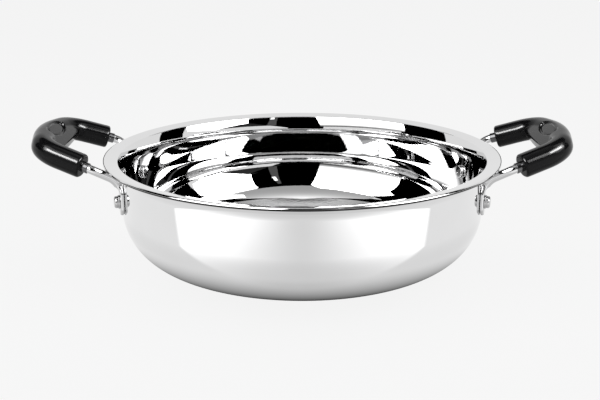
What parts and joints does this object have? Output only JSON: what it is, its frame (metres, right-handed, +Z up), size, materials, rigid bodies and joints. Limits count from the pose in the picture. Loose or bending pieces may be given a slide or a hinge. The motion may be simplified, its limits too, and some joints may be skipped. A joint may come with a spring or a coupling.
{
  "type": "kadai",
  "caption": "Stainless steel kadai: flared lip, upright wall curving into a shallow bowl on a flat base, and black horseshoe grips on riveted steel rod arms.",
  "frame": {"origin": "centre of the flat base, on the surface that the kadai stands on", "axes": "+Z up through the middle of the bowl; the handles stand out along +X and -X; front is -Y"},
  "size_m": [0.3486, 0.258, 0.0976],
  "materials": {
    "pan_steel": "mirror-polished stainless steel",
    "arm_steel": "bright polished stainless steel rod",
    "ferrule_steel": "bright polished stainless steel",
    "rivet_steel": "bright polished stainless steel",
    "washer_steel": "bright polished stainless steel",
    "screw_steel": "plain steel",
    "grip_phenolic": "glossy moulded black phenolic"
  },
  "bodies": {
    "root": {"arm_left_front": "arm_steel", "arm_left_rear": "arm_steel", "arm_right_front": "arm_steel", "arm_right_rear": "arm_steel", "ferrule_left_front": "ferrule_steel", "ferrule_left_rear": "ferrule_steel", "ferrule_right_front": "ferrule_steel", "ferrule_right_rear": "ferrule_steel", "grip_left": "grip_phenolic", "grip_right": "grip_phenolic", "grip_screw_left_front": "screw_steel", "grip_screw_left_rear": "screw_steel", "grip_screw_right_front": "screw_steel", "grip_screw_right_rear": "screw_steel", "pan_body": "pan_steel", "rivet_left_front": "rivet_steel", "rivet_left_rear": "rivet_steel", "rivet_right_front": "rivet_steel", "rivet_right_rear": "rivet_steel", "washer_left_front": "washer_steel", "washer_left_rear": "washer_steel", "washer_right_front": "washer_steel", "washer_right_rear": "washer_steel"}
  },
  "joints": []
}
